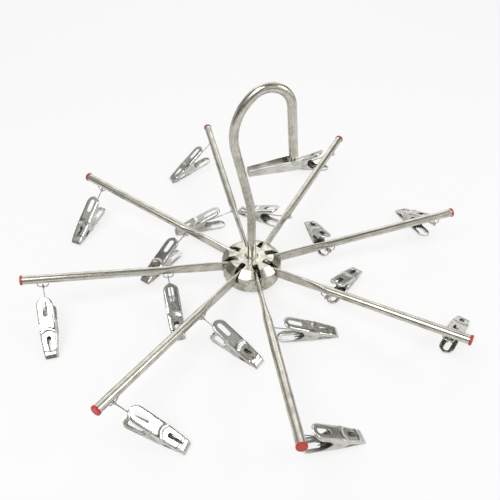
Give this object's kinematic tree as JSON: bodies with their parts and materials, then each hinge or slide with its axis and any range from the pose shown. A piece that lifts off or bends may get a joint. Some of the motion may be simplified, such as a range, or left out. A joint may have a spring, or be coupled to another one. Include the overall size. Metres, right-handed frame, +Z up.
{
  "type": "clip drying hanger",
  "caption": "Folding steel drying hanger: arms fold up on a round hub, each carries sprung clips on wire links, and a gated swivel hook hangs it.",
  "frame": {"origin": "centre of the hub's flat foot, on the surface it stands on", "axes": "+Z up along the hub's axis and the hook's stem; +X along arm 5, in the plane of the hook's bend"},
  "size_m": [0.3807, 0.3805, 0.1833],
  "materials": {
    "hub_steel": "bright stamped steel",
    "rod_steel": "bright drawn steel with lengthwise streaks",
    "tube_steel": "bright drawn tube with lengthwise streaks",
    "clip_steel": "bright stamped spring steel",
    "wire_steel": "bright wire",
    "red_plastic": "moulded red plastic",
    "spring_steel": "dark spring wire"
  },
  "bodies": {
    "hub": {"hub_cap": "hub_steel", "hub_base": "hub_steel"},
    "hook": {"hook": "rod_steel"},
    "hook_gate": {"hook_gate": "clip_steel"},
    "arm_1": {"arm_1": "tube_steel"},
    "clip_inner_1_link": {"clip_inner_1_link": "wire_steel"},
    "clip_inner_1_jaw": {"clip_inner_1_jaw": "clip_steel"},
    "clip_inner_1_lever": {"clip_inner_1_lever": "clip_steel"},
    "clip_outer_1_link": {"clip_outer_1_link": "wire_steel"},
    "clip_outer_1_jaw": {"clip_outer_1_jaw": "clip_steel"},
    "clip_outer_1_lever": {"clip_outer_1_lever": "clip_steel"},
    "arm_2": {"arm_2": "tube_steel"},
    "clip_inner_2_link": {"clip_inner_2_link": "wire_steel"},
    "clip_inner_2_jaw": {"clip_inner_2_jaw": "clip_steel"},
    "clip_inner_2_lever": {"clip_inner_2_lever": "clip_steel"},
    "clip_outer_2_link": {"clip_outer_2_link": "wire_steel"},
    "clip_outer_2_jaw": {"clip_outer_2_jaw": "clip_steel"},
    "clip_outer_2_lever": {"clip_outer_2_lever": "clip_steel"},
    "arm_3": {"arm_3": "tube_steel"},
    "clip_inner_3_link": {"clip_inner_3_link": "wire_steel"},
    "clip_inner_3_jaw": {"clip_inner_3_jaw": "clip_steel"},
    "clip_inner_3_lever": {"clip_inner_3_lever": "clip_steel"},
    "clip_outer_3_link": {"clip_outer_3_link": "wire_steel"},
    "clip_outer_3_jaw": {"clip_outer_3_jaw": "clip_steel"},
    "clip_outer_3_lever": {"clip_outer_3_lever": "clip_steel"},
    "arm_4": {"arm_4": "tube_steel"},
    "clip_inner_4_link": {"clip_inner_4_link": "wire_steel"},
    "clip_inner_4_jaw": {"clip_inner_4_jaw": "clip_steel"},
    "clip_inner_4_lever": {"clip_inner_4_lever": "clip_steel"},
    "clip_outer_4_link": {"clip_outer_4_link": "wire_steel"},
    "clip_outer_4_jaw": {"clip_outer_4_jaw": "clip_steel"},
    "clip_outer_4_lever": {"clip_outer_4_lever": "clip_steel"},
    "arm_5": {"arm_5": "tube_steel"},
    "clip_inner_5_link": {"clip_inner_5_link": "wire_steel"},
    "clip_inner_5_jaw": {"clip_inner_5_jaw": "clip_steel"},
    "clip_inner_5_lever": {"clip_inner_5_lever": "clip_steel"},
    "clip_outer_5_link": {"clip_outer_5_link": "wire_steel"},
    "clip_outer_5_jaw": {"clip_outer_5_jaw": "clip_steel"},
    "clip_outer_5_lever": {"clip_outer_5_lever": "clip_steel"},
    "arm_6": {"arm_6": "tube_steel"},
    "clip_inner_6_link": {"clip_inner_6_link": "wire_steel"},
    "clip_inner_6_jaw": {"clip_inner_6_jaw": "clip_steel"},
    "clip_inner_6_lever": {"clip_inner_6_lever": "clip_steel"},
    "clip_outer_6_link": {"clip_outer_6_link": "wire_steel"},
    "clip_outer_6_jaw": {"clip_outer_6_jaw": "clip_steel"},
    "clip_outer_6_lever": {"clip_outer_6_lever": "clip_steel"},
    "arm_7": {"arm_7": "tube_steel"},
    "clip_inner_7_link": {"clip_inner_7_link": "wire_steel"},
    "clip_inner_7_jaw": {"clip_inner_7_jaw": "clip_steel"},
    "clip_inner_7_lever": {"clip_inner_7_lever": "clip_steel"},
    "clip_outer_7_link": {"clip_outer_7_link": "wire_steel"},
    "clip_outer_7_jaw": {"clip_outer_7_jaw": "clip_steel"},
    "clip_outer_7_lever": {"clip_outer_7_lever": "clip_steel"},
    "arm_8": {"arm_8": "tube_steel"},
    "clip_inner_8_link": {"clip_inner_8_link": "wire_steel"},
    "clip_inner_8_jaw": {"clip_inner_8_jaw": "clip_steel"},
    "clip_inner_8_lever": {"clip_inner_8_lever": "clip_steel"},
    "clip_outer_8_link": {"clip_outer_8_link": "wire_steel"},
    "clip_outer_8_jaw": {"clip_outer_8_jaw": "clip_steel"},
    "clip_outer_8_lever": {"clip_outer_8_lever": "clip_steel"}
  },
  "joints": [
    {"name": "hook_swivel", "type": "hinge", "parent": "hub", "child": "hook", "pos_m": [0, 0, 0.03], "axis": [0, 0, 1], "continuous": true},
    {"name": "gate_hinge", "type": "hinge", "parent": "hook", "child": "hook_gate", "pos_m": [0.03292, 0, 0.12], "axis": [0, 1, 0], "range_deg": [0, 50], "stiffness_Nm_per_rad": 0.02, "springref_deg": -17.19},
    {"name": "arm_1_fold", "type": "hinge", "parent": "hub", "child": "arm_1", "pos_m": [-0.015, 0, 0.018], "axis": [-0.0052, 1, 0], "range_deg": [0, 65]},
    {"name": "clip_inner_1_swing", "type": "hinge", "parent": "arm_1", "child": "clip_inner_1_link", "pos_m": [-0.07411, -0.00031, 0.017], "axis": [0.9917, 0.0052, -0.1288], "range_deg": [-8, 73.9]},
    {"name": "clip_inner_1_turn", "type": "hinge", "parent": "clip_inner_1_link", "child": "clip_inner_1_jaw", "pos_m": [-0.07393, -0.0349, 0.00703], "axis": [-1, -0.0052, 0], "range_deg": [-21, 13]},
    {"name": "clip_inner_1_open", "type": "hinge", "parent": "clip_inner_1_jaw", "child": "clip_inner_1_lever", "pos_m": [-0.07393, -0.0349, 0.00703], "axis": [1, 0.0052, 0], "range_deg": [0, 18], "stiffness_Nm_per_rad": 0.2, "springref_deg": -22.92},
    {"name": "clip_outer_1_swing", "type": "hinge", "parent": "arm_1", "child": "clip_outer_1_link", "pos_m": [-0.17511, -0.00084, 0.03012], "axis": [0.9917, 0.0052, -0.1288], "range_deg": [-8, 57.8]},
    {"name": "clip_outer_1_turn", "type": "hinge", "parent": "clip_outer_1_link", "child": "clip_outer_1_jaw", "pos_m": [-0.17441, -0.03131, 0.01096], "axis": [-0.9997, -0.0227, 0], "range_deg": [-27, 7]},
    {"name": "clip_outer_1_open", "type": "hinge", "parent": "clip_outer_1_jaw", "child": "clip_outer_1_lever", "pos_m": [-0.17441, -0.03131, 0.01096], "axis": [0.9997, 0.0227, 0], "range_deg": [0, 18], "stiffness_Nm_per_rad": 0.2, "springref_deg": -22.92},
    {"name": "arm_2_fold", "type": "hinge", "parent": "hub", "child": "arm_2", "pos_m": [-0.01061, 0.01061, 0.018], "axis": [0.7059, 0.7083, 0], "range_deg": [0, 65]},
    {"name": "clip_inner_2_swing", "type": "hinge", "parent": "arm_2", "child": "clip_inner_2_link", "pos_m": [-0.05242, 0.05228, 0.01648], "axis": [0.7032, -0.7008, -0.1201], "range_deg": [-8, 74.4]},
    {"name": "clip_inner_2_turn", "type": "hinge", "parent": "clip_inner_2_link", "child": "clip_inner_2_jaw", "pos_m": [-0.07815, 0.02903, 0.00682], "axis": [-0.6704, 0.742, 0], "range_deg": [-21, 13]},
    {"name": "clip_inner_2_open", "type": "hinge", "parent": "clip_inner_2_jaw", "child": "clip_inner_2_lever", "pos_m": [-0.07815, 0.02903, 0.00682], "axis": [0.6704, -0.742, 0], "range_deg": [0, 18], "stiffness_Nm_per_rad": 0.2, "springref_deg": -22.92},
    {"name": "clip_outer_2_swing", "type": "hinge", "parent": "arm_2", "child": "clip_outer_2_link", "pos_m": [-0.12396, 0.12357, 0.0287], "axis": [0.7032, -0.7008, -0.1201], "range_deg": [-8, 59.4]},
    {"name": "clip_outer_2_turn", "type": "hinge", "parent": "clip_outer_2_link", "child": "clip_outer_2_jaw", "pos_m": [-0.14213, 0.09847, 0.01038], "axis": [-0.81, 0.5864, 0], "range_deg": [-27, 7]},
    {"name": "clip_outer_2_open", "type": "hinge", "parent": "clip_outer_2_jaw", "child": "clip_outer_2_lever", "pos_m": [-0.14213, 0.09847, 0.01038], "axis": [0.81, -0.5864, 0], "range_deg": [0, 18], "stiffness_Nm_per_rad": 0.2, "springref_deg": -22.92},
    {"name": "arm_3_fold", "type": "hinge", "parent": "hub", "child": "arm_3", "pos_m": [0, 0.015, 0.018], "axis": [0.9996, 0.0297, 0], "range_deg": [0, 65]},
    {"name": "clip_inner_3_swing", "type": "hinge", "parent": "arm_3", "child": "clip_inner_3_link", "pos_m": [-0.00176, 0.07429, 0.01848], "axis": [0.0293, -0.9878, -0.153], "range_deg": [-8, 72.4]},
    {"name": "clip_inner_3_turn", "type": "hinge", "parent": "clip_inner_3_link", "child": "clip_inner_3_jaw", "pos_m": [-0.03608, 0.07447, 0.00762], "axis": [0.0052, 1, 0], "range_deg": [-21, 13]},
    {"name": "clip_inner_3_open", "type": "hinge", "parent": "clip_inner_3_jaw", "child": "clip_inner_3_lever", "pos_m": [-0.03608, 0.07447, 0.00762], "axis": [-0.0052, -1, 0], "range_deg": [0, 18], "stiffness_Nm_per_rad": 0.2, "springref_deg": -22.92},
    {"name": "clip_outer_3_swing", "type": "hinge", "parent": "arm_3", "child": "clip_outer_3_link", "pos_m": [-0.00476, 0.17525, 0.03412], "axis": [0.0293, -0.9878, -0.153], "range_deg": [-8, 53.3]},
    {"name": "clip_outer_3_turn", "type": "hinge", "parent": "clip_outer_3_link", "child": "clip_outer_3_jaw", "pos_m": [-0.03242, 0.16695, 0.01262], "axis": [-0.2874, 0.9578, 0], "range_deg": [-27, 7]},
    {"name": "clip_outer_3_open", "type": "hinge", "parent": "clip_outer_3_jaw", "child": "clip_outer_3_lever", "pos_m": [-0.03242, 0.16695, 0.01262], "axis": [0.2874, -0.9578, 0], "range_deg": [0, 18], "stiffness_Nm_per_rad": 0.2, "springref_deg": -22.92},
    {"name": "arm_4_fold", "type": "hinge", "parent": "hub", "child": "arm_4", "pos_m": [0.01061, 0.01061, 0.018], "axis": [0.7361, -0.6769, 0], "range_deg": [0, 65]},
    {"name": "clip_inner_4_swing", "type": "hinge", "parent": "arm_4", "child": "clip_inner_4_link", "pos_m": [0.05067, 0.05417, 0.01753], "axis": [-0.6705, -0.7291, -0.1374], "range_deg": [-8, 73.4]},
    {"name": "clip_inner_4_turn", "type": "hinge", "parent": "clip_inner_4_link", "child": "clip_inner_4_jaw", "pos_m": [0.02568, 0.07796, 0.00724], "axis": [0.6896, 0.7242, 0], "range_deg": [-21, 13]},
    {"name": "clip_inner_4_open", "type": "hinge", "parent": "clip_inner_4_jaw", "child": "clip_inner_4_lever", "pos_m": [0.02568, 0.07796, 0.00724], "axis": [-0.6896, -0.7242, 0], "range_deg": [0, 18], "stiffness_Nm_per_rad": 0.2, "springref_deg": -22.92},
    {"name": "clip_outer_4_swing", "type": "hinge", "parent": "arm_4", "child": "clip_outer_4_link", "pos_m": [0.11903, 0.12852, 0.03154], "axis": [-0.6705, -0.7291, -0.1374], "range_deg": [-8, 56.3]},
    {"name": "clip_outer_4_turn", "type": "hinge", "parent": "clip_outer_4_link", "child": "clip_outer_4_jaw", "pos_m": [0.09596, 0.1476, 0.01155], "axis": [0.6374, 0.7705, 0], "range_deg": [-27, 7]},
    {"name": "clip_outer_4_open", "type": "hinge", "parent": "clip_outer_4_jaw", "child": "clip_outer_4_lever", "pos_m": [0.09596, 0.1476, 0.01155], "axis": [-0.6374, -0.7705, 0], "range_deg": [0, 18], "stiffness_Nm_per_rad": 0.2, "springref_deg": -22.92},
    {"name": "arm_5_fold", "type": "hinge", "parent": "hub", "child": "arm_5", "pos_m": [0.015, 0, 0.018], "axis": [0.0157, -0.9999, 0], "range_deg": [0, 65]},
    {"name": "clip_inner_5_swing", "type": "hinge", "parent": "arm_5", "child": "clip_inner_5_link", "pos_m": [0.07397, 0.00093, 0.01606], "axis": [-0.9934, -0.0156, -0.1132], "range_deg": [-8, 74.9]},
    {"name": "clip_inner_5_turn", "type": "hinge", "parent": "clip_inner_5_link", "child": "clip_inner_5_jaw", "pos_m": [0.07342, 0.03567, 0.00666], "axis": [0.9999, 0.0157, 0], "range_deg": [-21, 13]},
    {"name": "clip_inner_5_open", "type": "hinge", "parent": "clip_inner_5_jaw", "child": "clip_inner_5_lever", "pos_m": [0.07342, 0.03567, 0.00666], "axis": [-0.9999, -0.0157, 0], "range_deg": [0, 18], "stiffness_Nm_per_rad": 0.2, "springref_deg": -22.92},
    {"name": "clip_outer_5_swing", "type": "hinge", "parent": "arm_5", "child": "clip_outer_5_link", "pos_m": [0.17495, 0.00251, 0.02757], "axis": [-0.9934, -0.0156, -0.1132], "range_deg": [-8, 60.6]},
    {"name": "clip_outer_5_turn", "type": "hinge", "parent": "clip_outer_5_link", "child": "clip_outer_5_jaw", "pos_m": [0.17173, 0.03372, 0.00991], "axis": [0.9947, 0.1028, 0], "range_deg": [-27, 7]},
    {"name": "clip_outer_5_open", "type": "hinge", "parent": "clip_outer_5_jaw", "child": "clip_outer_5_lever", "pos_m": [0.17173, 0.03372, 0.00991], "axis": [-0.9947, -0.1028, 0], "range_deg": [0, 18], "stiffness_Nm_per_rad": 0.2, "springref_deg": -22.92},
    {"name": "arm_6_fold", "type": "hinge", "parent": "hub", "child": "arm_6", "pos_m": [0.01061, -0.01061, 0.018], "axis": [-0.7193, -0.6947, 0], "range_deg": [0, 65]},
    {"name": "clip_inner_6_swing", "type": "hinge", "parent": "arm_6", "child": "clip_inner_6_link", "pos_m": [0.05162, -0.05308, 0.01659], "axis": [-0.6895, 0.714, -0.1219], "range_deg": [-8, 74.3]},
    {"name": "clip_inner_6_turn", "type": "hinge", "parent": "clip_inner_6_link", "child": "clip_inner_6_jaw", "pos_m": [0.07818, -0.0308, 0.00686], "axis": [0.6428, -0.766, 0], "range_deg": [-21, 13]},
    {"name": "clip_inner_6_open", "type": "hinge", "parent": "clip_inner_6_jaw", "child": "clip_inner_6_lever", "pos_m": [0.07818, -0.0308, 0.00686], "axis": [-0.6428, 0.766, 0], "range_deg": [0, 18], "stiffness_Nm_per_rad": 0.2, "springref_deg": -22.92},
    {"name": "clip_outer_6_swing", "type": "hinge", "parent": "arm_6", "child": "clip_outer_6_link", "pos_m": [0.12179, -0.12574, 0.02899], "axis": [-0.6895, 0.714, -0.1219], "range_deg": [-8, 59.1]},
    {"name": "clip_outer_6_turn", "type": "hinge", "parent": "clip_outer_6_link", "child": "clip_outer_6_jaw", "pos_m": [0.1451, -0.10547, 0.01049], "axis": [0.6561, -0.7547, 0], "range_deg": [-27, 7]},
    {"name": "clip_outer_6_open", "type": "hinge", "parent": "clip_outer_6_jaw", "child": "clip_outer_6_lever", "pos_m": [0.1451, -0.10547, 0.01049], "axis": [-0.6561, 0.7547, 0], "range_deg": [0, 18], "stiffness_Nm_per_rad": 0.2, "springref_deg": -22.92},
    {"name": "arm_7_fold", "type": "hinge", "parent": "hub", "child": "arm_7", "pos_m": [0, -0.015, 0.018], "axis": [-0.9974, 0.0715, 0], "range_deg": [0, 65]},
    {"name": "clip_inner_7_swing", "type": "hinge", "parent": "arm_7", "child": "clip_inner_7_link", "pos_m": [-0.00424, -0.07409, 0.01795], "axis": [0.0707, 0.987, -0.1444], "range_deg": [-8, 73]},
    {"name": "clip_inner_7_turn", "type": "hinge", "parent": "clip_inner_7_link", "child": "clip_inner_7_jaw", "pos_m": [0.02999, -0.07775, 0.00741], "axis": [-0.1063, -0.9943, 0], "range_deg": [-21, 13]},
    {"name": "clip_inner_7_open", "type": "hinge", "parent": "clip_inner_7_jaw", "child": "clip_inner_7_lever", "pos_m": [0.02999, -0.07775, 0.00741], "axis": [0.1063, 0.9943, 0], "range_deg": [0, 18], "stiffness_Nm_per_rad": 0.2, "springref_deg": -22.92},
    {"name": "clip_outer_7_swing", "type": "hinge", "parent": "arm_7", "child": "clip_outer_7_link", "pos_m": [-0.01146, -0.17483, 0.03269], "axis": [0.0707, 0.987, -0.1444], "range_deg": [-8, 55]},
    {"name": "clip_outer_7_turn", "type": "hinge", "parent": "clip_outer_7_link", "child": "clip_outer_7_jaw", "pos_m": [0.01799, -0.17334, 0.01203], "axis": [0.0506, -0.9987, 0], "range_deg": [-27, 7]},
    {"name": "clip_outer_7_open", "type": "hinge", "parent": "clip_outer_7_jaw", "child": "clip_outer_7_lever", "pos_m": [0.01799, -0.17334, 0.01203], "axis": [-0.0506, 0.9987, 0], "range_deg": [0, 18], "stiffness_Nm_per_rad": 0.2, "springref_deg": -22.92},
    {"name": "arm_8_fold", "type": "hinge", "parent": "hub", "child": "arm_8", "pos_m": [-0.01061, -0.01061, 0.018], "axis": [-0.7034, 0.7108, 0], "range_deg": [0, 65]},
    {"name": "clip_inner_8_swing", "type": "hinge", "parent": "arm_8", "child": "clip_inner_8_link", "pos_m": [-0.05261, -0.05217, 0.0169], "axis": [0.705, 0.6977, -0.1271], "range_deg": [-8, 74]},
    {"name": "clip_inner_8_turn", "type": "hinge", "parent": "clip_inner_8_link", "child": "clip_inner_8_jaw", "pos_m": [-0.0305, -0.0788, 0.00699], "axis": [-0.7694, -0.6388, 0], "range_deg": [-21, 13]},
    {"name": "clip_inner_8_open", "type": "hinge", "parent": "clip_inner_8_jaw", "child": "clip_inner_8_lever", "pos_m": [-0.0305, -0.0788, 0.00699], "axis": [0.7694, 0.6388, 0], "range_deg": [0, 18], "stiffness_Nm_per_rad": 0.2, "springref_deg": -22.92},
    {"name": "clip_outer_8_swing", "type": "hinge", "parent": "arm_8", "child": "clip_outer_8_link", "pos_m": [-0.1244, -0.12322, 0.02984], "axis": [0.705, 0.6977, -0.1271], "range_deg": [-8, 58.2]},
    {"name": "clip_outer_8_turn", "type": "hinge", "parent": "clip_outer_8_link", "child": "clip_outer_8_jaw", "pos_m": [-0.09914, -0.14045, 0.01085], "axis": [-0.5635, -0.8261, 0], "range_deg": [-27, 7]},
    {"name": "clip_outer_8_open", "type": "hinge", "parent": "clip_outer_8_jaw", "child": "clip_outer_8_lever", "pos_m": [-0.09914, -0.14045, 0.01085], "axis": [0.5635, 0.8261, 0], "range_deg": [0, 18], "stiffness_Nm_per_rad": 0.2, "springref_deg": -22.92}
  ]
}
